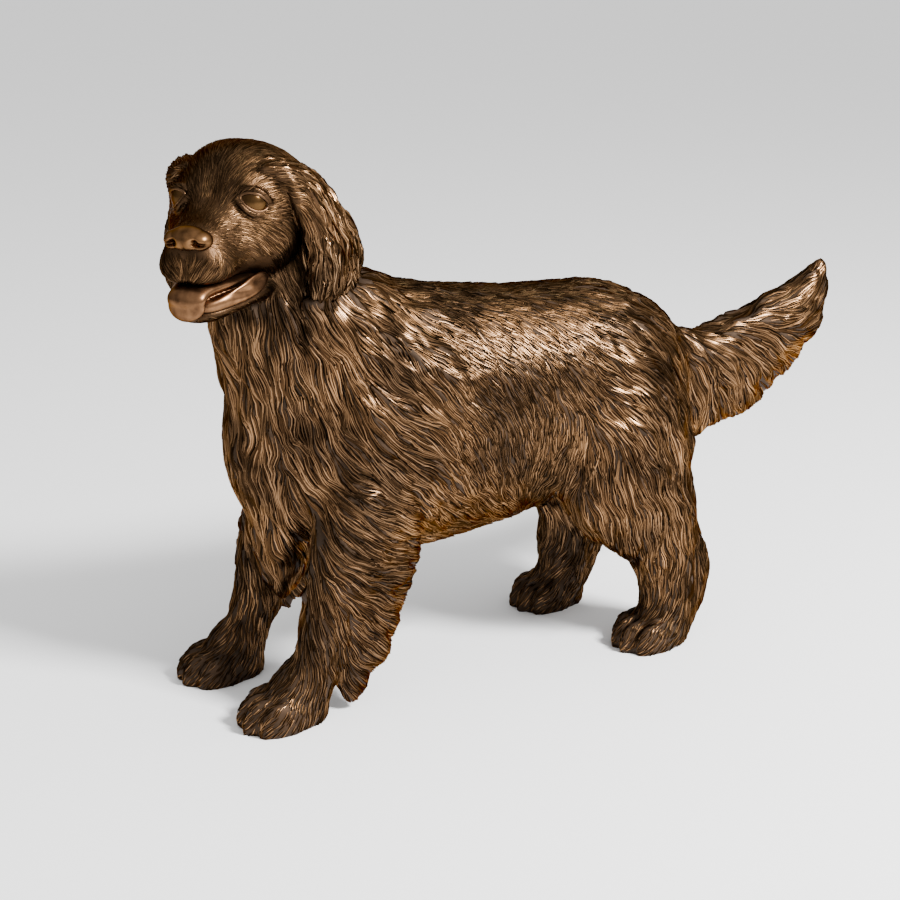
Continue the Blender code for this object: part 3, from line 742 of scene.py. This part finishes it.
def hair_tree():
    """Geometry nodes that grow the hairs of one piece on the surface that carries them."""
    tree = bpy.data.node_groups.new("grow hair", "GeometryNodeTree")
    sockets = {}
    for name, kind, way in (
        ("Surface", "NodeSocketGeometry", "INPUT"),
        ("Bronze", "NodeSocketMaterial", "INPUT"),
        ("Spacing", "NodeSocketFloat", "INPUT"),
        ("Density", "NodeSocketFloat", "INPUT"),
        ("Steps", "NodeSocketInt", "INPUT"),
        ("Swirl", "NodeSocketFloat", "INPUT"),
        ("Swirl Size", "NodeSocketFloat", "INPUT"),
        ("Height", "NodeSocketFloat", "INPUT"),
        ("Lift", "NodeSocketFloat", "INPUT"),
        ("Seed", "NodeSocketInt", "INPUT"),
        ("Hair", "NodeSocketGeometry", "OUTPUT"),
    ):
        sockets[name] = tree.interface.new_socket(name=name, in_out=way, socket_type=kind).identifier
    given = tree.nodes.new("NodeGroupInput").outputs

    def put(socket, value):
        if isinstance(value, bpy.types.NodeSocket):
            tree.links.new(value, socket)
        else:
            socket.default_value = value

    def node(kind, inputs=(), **settings):
        """A node with its settings made and its inputs, by name or place, filled."""
        made = tree.nodes.new(kind)
        for setting, value in settings.items():
            setattr(made, setting, value)
        for key, value in dict(inputs).items():
            put(made.inputs[key], value)
        return made

    def out(made, name=None):
        return made.outputs[name] if name else next(socket for socket in made.outputs if socket.enabled)

    def attribute(name, kind="FLOAT"):
        return out(node("GeometryNodeInputNamedAttribute", {"Name": name}, data_type=kind))

    def math_of(operation, a, b=0.0):
        return out(node("ShaderNodeMath", {0: a, 1: b}, operation=operation))

    def vector_of(operation, a, b=(0, 0, 0), scale=1.0):
        made = node("ShaderNodeVectorMath", {0: a, 1: b}, operation=operation)
        if operation == "SCALE":
            put(made.inputs["Scale"], scale)
        return out(made)

    def chance(low, high, seed):
        inputs = {"Seed": math_of("ADD", given["Seed"], seed)}
        made = node("FunctionNodeRandomValue", inputs, data_type="FLOAT")
        put(made.inputs[2], low)
        put(made.inputs[3], high)
        return out(made)

    def stored(geometry, name, value, kind="FLOAT"):
        inputs = {"Geometry": geometry, "Name": name, "Value": value}
        return out(node("GeometryNodeStoreNamedAttribute", inputs, data_type=kind, domain="POINT"))

    def on_surface(name):
        inputs = {"Mesh": given["Surface"], "Value": attribute(name, "FLOAT_VECTOR")}
        return out(node("GeometryNodeSampleNearestSurface", inputs, data_type="FLOAT_VECTOR"))

    roots = node(
        "GeometryNodeDistributePointsOnFaces",
        {
            "Mesh": given["Surface"],
            "Distance Min": given["Spacing"],
            "Density Max": given["Density"],
            "Density Factor": attribute("growth"),
            "Seed": given["Seed"],
        },
        distribute_method="POISSON",
    )
    points = stored(out(roots, "Points"), "hair", out(node("GeometryNodeInputIndex")), "INT")
    points = stored(points, "tone", chance(0.0, 1.0, 11))
    points = stored(points, "spring", chance(0.1, 1.9, 14))
    long = math_of("MULTIPLY", attribute("hair_length"), chance(0.75, 1.25, 12))
    points = stored(points, "hair_length", long)
    points = stored(points, "thick", math_of("MULTIPLY", attribute("hair_width"), chance(0.4, 0.62, 13)))
    copies = {"Geometry": points, "Amount": math_of("ADD", given["Steps"], 1)}
    beads = node("GeometryNodeDuplicateElements", copies, domain="POINT")
    points = stored(out(beads, "Geometry"), "step", out(beads, "Duplicate Index"), "INT")

    start = tree.nodes.new("GeometryNodeRepeatInput")
    end = tree.nodes.new("GeometryNodeRepeatOutput")
    start.pair_with_output(end)
    put(start.inputs["Iterations"], given["Steps"])
    put(start.inputs["Geometry"], points)
    here = out(node("GeometryNodeInputPosition"))
    waves = math_of("DIVIDE", 1.0, given["Swirl Size"])
    noise = node("ShaderNodeTexNoise", {"Vector": here, "Scale": waves, "Detail": 1.6, "Roughness": 0.6})
    sway = vector_of("SUBTRACT", out(noise, "Color"), (0.5, 0.5, 0.5))
    swirl = vector_of("SCALE", sway, scale=given["Swirl"])
    heading = vector_of("ADD", on_surface("comb"), swirl)
    outward = on_surface("outward")
    rise = node("ShaderNodeVectorMath", {0: heading, 1: outward}, operation="DOT_PRODUCT")
    flat = vector_of("SUBTRACT", heading, vector_of("SCALE", outward, scale=out(rise, "Value")))
    stride = math_of("DIVIDE", attribute("hair_length"), given["Steps"])
    ahead = vector_of("ADD", here, vector_of("SCALE", vector_of("NORMALIZE", flat), scale=stride))
    landing = {"Geometry": given["Surface"], "Sample Position": ahead}
    landed = node("GeometryNodeProximity", landing, target_element="FACES")
    steps_taken = {2: attribute("step", "INT"), 3: start.outputs["Iteration"]}
    later = node("FunctionNodeCompare", steps_taken, data_type="INT")
    later.operation = "GREATER_THAN"
    moved = node(
        "GeometryNodeSetPosition",
        {"Geometry": start.outputs["Geometry"], "Selection": out(later), "Position": out(landed, "Position")},
    )
    put(end.inputs["Geometry"], out(moved))

    points = stored(end.outputs["Geometry"], "outward", on_surface("outward"), "FLOAT_VECTOR")
    along = math_of("DIVIDE", attribute("step", "INT"), given["Steps"])
    swell = math_of("SINE", math_of("ADD", math_of("MULTIPLY", along, 2.7), 0.3))
    taper = math_of("POWER", math_of("MAXIMUM", swell, 0.01), 0.75)
    spring = math_of("MULTIPLY", attribute("thick"), math_of("MULTIPLY", given["Lift"], attribute("spring")))
    height = math_of("MULTIPLY", spring, math_of("POWER", along, 2.0))
    lifted = node("GeometryNodeSetPosition", {"Geometry": points})
    put(lifted.inputs["Offset"], vector_of("SCALE", attribute("outward", "FLOAT_VECTOR"), scale=height))
    points = stored(out(lifted), "thick", math_of("MULTIPLY", attribute("thick"), taper))
    curves = node("GeometryNodePointsToCurves", {"Points": points})
    put(curves.inputs["Curve Group ID"], attribute("hair", "INT"))
    put(curves.inputs["Weight"], attribute("step", "INT"))
    turning = {"Curve": out(curves), "Normal": attribute("outward", "FLOAT_VECTOR")}
    turned = node("GeometryNodeSetCurveNormal", turning, mode="FREE")
    bow = node("GeometryNodeCurveArc", {"Resolution": 3, "Radius": 1.0})
    put(bow.inputs["Start Angle"], -RIDGE_HALF_ARC)
    put(bow.inputs["Sweep Angle"], 2 * RIDGE_HALF_ARC)
    shape = node("ShaderNodeCombineXYZ", {"X": given["Height"], "Y": RIDGE_WIDENING, "Z": 1.0})
    arch = {"Geometry": out(bow), "Scale": out(shape), "Translation": (RIDGE_RISE, 0, 0)}
    ridge = node("GeometryNodeTransform", arch)
    top = node("FunctionNodeCompare", {2: out(node("GeometryNodeInputIndex")), 3: 1}, data_type="INT")
    top.operation = "EQUAL"
    # crest marks each hair's top, which the coat's bronze paints as rubbed metal with a painted highlight.
    profile = stored(out(ridge), "crest", out(top))
    swept = node("GeometryNodeCurveToMesh", {"Curve": out(turned), "Profile Curve": profile})
    put(swept.inputs["Fill Caps"], True)
    put(swept.inputs["Scale"], attribute("thick"))
    soft = node("GeometryNodeSetShadeSmooth", {"Geometry": out(swept)})
    real = node("GeometryNodeRealizeInstances", {"Geometry": out(soft)})
    painted = node("GeometryNodeSetMaterial", {"Geometry": out(real), "Material": given["Bronze"]})
    tree.links.new(out(painted), tree.nodes.new("NodeGroupOutput").inputs["Hair"])
    return tree, sockets


def coat_bronze(name, groove, middle, crest, roughness):
    """Patina and painted shade in the grooves, bare metal and a painted highlight on the crests, and broad
    patches of warmer and cooler brown.
    """
    material, tree, principled = shader(name)
    height = tree.nodes.new("ShaderNodeAttribute")
    height.attribute_name = "crest"
    tone = tree.nodes.new("ShaderNodeAttribute")
    tone.attribute_name = "tone"
    # rubbed is each point's crest less a share of its hair's tone: it places both the rubbed metal and the
    # painted highlight of the crests.
    rubbed = tree.nodes.new("ShaderNodeMath")
    rubbed.operation = "MULTIPLY_ADD"
    rubbed.inputs[1].default_value = -0.4
    tree.links.new(tone.outputs["Fac"], rubbed.inputs[0])
    tree.links.new(height.outputs["Fac"], rubbed.inputs[2])
    # From patina with painted shade in the grooves to rubbed brass with a painted highlight on the crests.
    colour = ramp(tree, rubbed.outputs[0], [(0.2, *groove), (0.97, *crest), (0.68, *middle)])
    patches = ramp(tree, mottling(tree, 0.11), [(0.38, 0.5, 0.47, 0.45), (0.62, 1.25, 1.12, 0.98)])
    mix = tree.nodes.new("ShaderNodeMix")
    mix.data_type = "RGBA"
    mix.blend_type = "MULTIPLY"
    mix.inputs["Factor"].default_value = 1
    tree.links.new(colour, mix.inputs["A"])
    tree.links.new(patches, mix.inputs["B"])
    tree.links.new(mix.outputs["Result"], principled.inputs["Base Color"])
    principled.inputs["Roughness"].default_value = roughness
    return material


# The least distance between roots in m, the most roots on a square metre, the steps along a hair, how far the
# hairs swirl and the size of a swirl in m, a ridge's height for its half width, the tip's lift, and the seed.
HAIR_NUMBERS = ("Spacing", "Density", "Steps", "Swirl", "Swirl Size", "Height", "Lift", "Seed")
hair_nodes, hair_inputs = hair_tree()


def hairs(surface, growing, bronze, numbers, longer=1, wider=1):
    """Mesh of the hairs that grow on the surface where growing is true. The numbers are the tree's inputs."""
    mesh = surface.copy()
    growth = mesh.attributes.new("growth", "FLOAT", "POINT")
    growth.data.foreach_set("value", growing.astype(np.float32))
    for name, share in (("hair_length", longer), ("hair_width", wider)):
        values = np.empty(len(mesh.vertices), np.float32)
        mesh.attributes[name].data.foreach_get("value", values)
        mesh.attributes[name].data.foreach_set("value", values * share)
    carrier = bpy.data.objects.new("carrier", mesh)
    bpy.context.scene.collection.objects.link(carrier)
    modifier = carrier.modifiers.new("hair", "NODES")
    modifier.node_group = hair_nodes
    modifier[hair_inputs["Bronze"]] = bronze
    for socket, value in zip(HAIR_NUMBERS, numbers):
        modifier[hair_inputs[socket]] = value
    graph = bpy.context.evaluated_depsgraph_get()
    hair = bpy.data.meshes.new_from_object(carrier.evaluated_get(graph))
    bpy.data.objects.remove(carrier)
    where = points_of(hair)
    where[:, 2] = np.maximum(where[:, 2], 0)
    hair.vertices.foreach_set("co", where.ravel())
    without(hair, COMB_ATTRIBUTES + GROWTH_ATTRIBUTES)
    return hair


def bare_body(spots, normals):
    """True on the soles."""
    return spots[:, 2] < 0.5


def bare_neck(spots, normals):
    """True at the face and ears, for the hair of the neck and chest, which starts high under the jaw."""
    from_eyes = spots - np.array(head_in_body.translation)
    forward, left, up = (from_eyes @ np.array(head_in_body.to_3x3())).T
    skull = (forward > -29) & (up > -16)
    jaw_line = (forward > -6) & (up > -22.5)
    ears = (abs(left) > 13) & (up > -24)
    return skull | jaw_line | ears


def outside(mesh, other, margin=0.0):
    """True for the points of a mesh that stand out of the other's closed skin by more than the margin."""
    corners = [point.co for point in other.vertices]
    skin = BVHTree.FromPolygons(corners, [face.vertices for face in other.polygons])
    clear = []
    for point in mesh.vertices:
        spot, normal, _, _ = skin.find_nearest(point.co, 0.2)
        clear.append(spot is None or (point.co - spot).dot(normal) > margin)
    return np.array(clear)


def joined(*meshes):
    """A form with the faces of all the meshes."""
    bm = bmesh.new()
    for mesh in meshes:
        bm.from_mesh(mesh)
    return bm


# Broad locks come first, fused with the skin, and the hairs then run over them.
LOCKED = ("mane", "chest", "hind", "foreleg", "tail")
LOCKS_FROM = 0.09  # m above the ground
BODY_LOCKS = (0.014, 6000, 8, 2.8, 0.05, 1.1, 0.3, 31)
NECK_OVERLAP = 0.003  # m that the head stands out of the body before its hair belongs to the head alone
coat_piece, coat_grows = lay_comb(body_mesh, COMB, COMB_REACH, to_row, bare_body)
locked = np.isin(coat_piece, LOCKED) & (points_of(body_mesh)[:, 2] > LOCKS_FROM) & coat_grows
locks = hairs(body_mesh, locked, ground, BODY_LOCKS, longer=1.35, wider=2.8)
body_mesh = fused(joined(body_mesh, locks), BODY_GRAIN, smoothing=1)
largest_body(body_mesh)
flat_soles(body_mesh)
body_mesh = thinned(body_mesh, BODY_FACETS)
finished("body", body_mesh, ground)

coat_piece, coat_grows = lay_comb(body_mesh, COMB, COMB_REACH, to_row, bare_body)
neck_mesh = fused(joined(body_mesh, head_mesh), BODY_GRAIN, smoothing=0)
largest_body(neck_mesh)
neck_piece, neck_grows = lay_comb(neck_mesh, COMB, COMB_REACH, to_row, bare_neck)
neck_grows |= ~outside(neck_mesh, body_mesh, NECK_OVERLAP)
coat_metal = coat_bronze(
    "coat bronze",
    groove=(0.006, 0.004, 0.002),
    middle=(0.06, 0.033, 0.016),
    crest=(0.38, 0.235, 0.13),
    roughness=0.28,
)
left_side = points_of(body_mesh)[:, 1] < WITHERS_AT.y
on_body = {piece: (coat_piece == piece) & coat_grows for piece in ("back", "foreleg", "hind", "tail")}
on_neck = {piece: (neck_piece == piece) & neck_grows for piece in ("mane", "chest")}
for name, skin, growing, numbers in (
    ("coat_left", body_mesh, on_body["back"] & left_side, (0.0024, 68000, 3, 1.9, 0.02, 0.8, 1.0, 0)),
    ("coat_right", body_mesh, on_body["back"] & ~left_side, (0.0024, 68000, 3, 1.9, 0.02, 0.8, 1.0, 1)),
    ("mane", neck_mesh, on_neck["mane"], (0.004, 28000, 6, 2.2, 0.03, 0.8, 0.6, 2)),
    ("ruff", neck_mesh, on_neck["chest"], (0.004, 27000, 8, 2.8, 0.03, 0.8, 0.5, 3)),
    ("foreleg_feathering", body_mesh, on_body["foreleg"], (0.0036, 31000, 5, 1.5, 0.03, 0.8, 0.6, 4)),
    ("hindquarters", body_mesh, on_body["hind"], (0.0038, 29000, 5, 1.7, 0.03, 0.8, 0.6, 5)),
    ("tail_plume", body_mesh, on_body["tail"], (0.004, 27000, 8, 2.0, 0.03, 0.8, 0.5, 6)),
):
    finished(name, hairs(skin, growing, coat_metal, numbers), coat_metal)
without(body_mesh, COMB_ATTRIBUTES)

# The hair of the face and ears: short strokes that part from the nose, run back over the brow and down the
# cheeks, and long wavy locks on the ears. The same chased bronze, brighter on the ears as a painted
# highlight.
# Rows are as in the coat's comb, in head axes.
FACE_REACH = 4.5
EYE_CLEAR = 3.3  # from the middle of the eye to the first hairs
EAR_LOCKS = (0.01, 10000, 7, 2.2, 0.035, 1.0, 0.3, 32)
FACE_HAIR = (0.0019, 110000, 3, 0.9, 0.016, 0.75, 0.3, 21)
EAR_HAIR = (0.003, 46000, 7, 2.2, 0.025, 0.85, 0.5, 22)
FACE_COMB = [
    ((13, 0, -2.5), (-1, 0, 0.2), 6, 1.2, "face"),
    ((6, 3, -1), (-1, 0.2, 0.4), 7, 1.3, "face"),
    ((0.5, 0, 5), (-0.5, 0, 1), 13, 2.6, "face"),
    ((1, 8, 4.5), (-0.6, 0.5, 0.7), 13, 2.6, "face"),
    ((-4, 5, 10), (-0.9, 0.4, 0.3), 15, 2.8, "face"),
    ((-12, 0, 12.5), (-1, 0, 0), 16, 3, "face"),
    ((-12, 9, 10), (-0.8, 0.7, -0.3), 18, 3, "face"),
    ((-20, 0, 9.6), (-1, 0, -0.4), 24, 3.4, "face"),
    ((-5, 12.6, 2), (-1, 0.2, 0.1), 13, 2.7, "face"),
    ((3.5, 8, -4), (-0.8, 0.4, -0.5), 12, 2.5, "face"),
    ((9, 7, -8), (-0.9, 0.3, -0.5), 7, 1.6, "face"),
    ((13, 5.5, -12), (0.5, -0.4, -0.6), 17, 3, "face"),
    ((5, 8.5, -13.5), (-0.9, 0.2, -0.4), 7, 1.5, "face"),
    ((-1, 11.5, -9), (-0.9, 0.1, -0.6), 15, 2.8, "face"),
    ((-7, 14, -8), (-0.7, 0, -0.9), 18, 3, "face"),
    ((-8, 12, -17), (-0.6, 0, -1), 24, 3.4, "face"),
    ((6, 0, -23), (-1, 0, -0.2), 15, 3, "face"),
    ((-4, 5, -23), (-0.9, 0, -0.5), 20, 3.4, "face"),
    ((-7, 11.5, 6.5), (-0.7, 0.6, -0.2), 16, 3, "ears"),
    ((-12, 16, 3), (-0.6, 0.3, -0.9), 34, 4.6, "ears"),
    ((-18, 20, -6), (-0.35, 0, -1), 42, 5, "ears"),
    ((-10, 19, -8), (-0.1, 0, -1), 42, 5, "ears"),
    ((-26, 17, -8), (-0.2, 0, -1), 40, 5, "ears"),
    ((-18, 20, -15), (0, 0, -1), 36, 5, "ears"),
    ((-12, 18, -22), (0.3, 0, -1), 24, 3.6, "ears"),
    ((-24, 8, 2), (-0.6, 0, -1), 30, 3.8, "face"),
    ((-33, 0, -12), (-0.7, 0, -1), 34, 4, "face"),
    ((-22, 13, -26), (-0.3, 0, -1), 34, 4, "face"),
    ((-9, 11, -26), (-0.4, 0, -1), 30, 3.8, "face"),
    ((-2, 0, -31), (-0.5, 0, -1), 30, 3.8, "face"),
]


def bare_face(spots, normals):
    """True on the eyes, the nose's place, and inside the mouth."""
    forward, left, up = spots.T
    from_eye = np.linalg.norm(np.column_stack((forward, abs(left), up)) - np.array(EYE_AT), axis=1)
    in_mouth = (forward > -3) & (normals[:, 2] < -0.35) & (up > -18.6)
    jaw_top = (forward > -3) & (normals[:, 2] > 0.1) & (up < -17) & (up > -22)
    nose_pad = (forward > 13.2) & (up > -8)
    return (from_eye < EYE_CLEAR) | in_mouth | jaw_top | nose_pad


face_piece, face_grows = lay_comb(head_mesh, FACE_COMB, FACE_REACH, head_to_row, bare_face)
locks = hairs(head_mesh, (face_piece == "ears") & face_grows, ground, EAR_LOCKS, longer=1.1, wider=2.2)
head_mesh = fused(joined(head_mesh, locks), HEAD_GRAIN * HUNDREDTH, smoothing=1)
largest_body(head_mesh)
head_mesh = thinned(head_mesh, HEAD_FACETS)
finished("head", head_mesh, face_bronze())
face_piece, face_grows = lay_comb(head_mesh, FACE_COMB, FACE_REACH, head_to_row, bare_face)
face_grows &= outside(head_mesh, body_mesh)
face_metal = coat_bronze(
    "face hair bronze",
    groove=(0.006, 0.004, 0.002),
    middle=(0.045, 0.025, 0.012),
    crest=(0.25, 0.15, 0.08),
    roughness=0.36,
)
face_hair = hairs(head_mesh, (face_piece == "face") & face_grows, face_metal, FACE_HAIR)
finished("face_hair", face_hair, face_metal)
# The ears' bronze is a lighter copy of the coat's, a painted highlight for the light that falls on the ears.
ear_metal = coat_bronze(
    "ear bronze",
    groove=(0.01, 0.006, 0.003),
    middle=(0.085, 0.047, 0.023),
    crest=(0.5, 0.32, 0.18),
    roughness=0.27,
)
ear_hair = hairs(head_mesh, (face_piece == "ears") & face_grows, ear_metal, EAR_HAIR)
finished("ear_locks", ear_hair, ear_metal)
without(head_mesh, COMB_ATTRIBUTES)

# The studio: a pale floor, one soft light from the right of the camera, and a pale sky, brighter toward it.
# The camera stands where the photograph was taken from. None of this is part of the object.
SENSOR = 36  # mm
LENS = 68.0  # mm
AIM_AT = Vector((-0.1397, -0.0598, 0.347))
CAMERA_AT = Vector((-1.1937, -2.0845, 1.0886))
KEY_AT = Vector((1.3, -2.6, 2.9))
KEY_SIZE = 0.9  # m
KEY_POWER = 480  # W
FLOOR_HALF = 40  # m

floor_mesh = bpy.data.meshes.new("floor")
floor_form = bmesh.new()
bmesh.ops.create_grid(floor_form, x_segments=1, y_segments=1, size=FLOOR_HALF)
floor_form.to_mesh(floor_mesh)
floor_form.free()
floor_finish, _, floor_shader = shader("pale floor", metallic=0)
floor_shader.inputs["Base Color"].default_value = (0.95, 0.95, 0.95, 1)
floor_shader.inputs["Roughness"].default_value = 0.8
floor_mesh.materials.append(floor_finish)
floor = bpy.data.objects.new("floor", floor_mesh)
bpy.context.scene.collection.objects.link(floor)


key_data = bpy.data.lights.new("key", "AREA")
key_data.size = KEY_SIZE
key_data.energy = KEY_POWER
key = bpy.data.objects.new("key", key_data)
key.location = KEY_AT
key.rotation_mode = "QUATERNION"
key.rotation_quaternion = (AIM_AT - KEY_AT).to_track_quat("-Z", "Y")
bpy.context.scene.collection.objects.link(key)

sky = bpy.data.worlds.new("studio sky")
sky.use_nodes = True
sky_tree = sky.node_tree
background = sky_tree.nodes["Background"]
background.inputs["Color"].default_value = (1, 1, 1, 1)
direction = sky_tree.nodes.new("ShaderNodeTexCoord")
toward_key = sky_tree.nodes.new("ShaderNodeVectorMath")
toward_key.operation = "DOT_PRODUCT"
toward_key.inputs[1].default_value = (KEY_AT - AIM_AT).normalized()
glow = sky_tree.nodes.new("ShaderNodeMapRange")
for socket, value in (("From Min", -0.7), ("From Max", 1), ("To Min", 0.3), ("To Max", 1.6)):
    glow.inputs[socket].default_value = value
sky_tree.links.new(direction.outputs["Generated"], toward_key.inputs[0])
sky_tree.links.new(toward_key.outputs["Value"], glow.inputs["Value"])
sky_tree.links.new(glow.outputs["Result"], background.inputs["Strength"])
bpy.context.scene.world = sky

lens = bpy.data.cameras.new("camera")
lens.lens = LENS
lens.sensor_width = SENSOR
camera = bpy.data.objects.new("camera", lens)
camera.location = CAMERA_AT
camera.rotation_mode = "QUATERNION"
camera.rotation_quaternion = (AIM_AT - CAMERA_AT).to_track_quat("-Z", "Y")
bpy.context.scene.collection.objects.link(camera)
bpy.context.scene.camera = camera
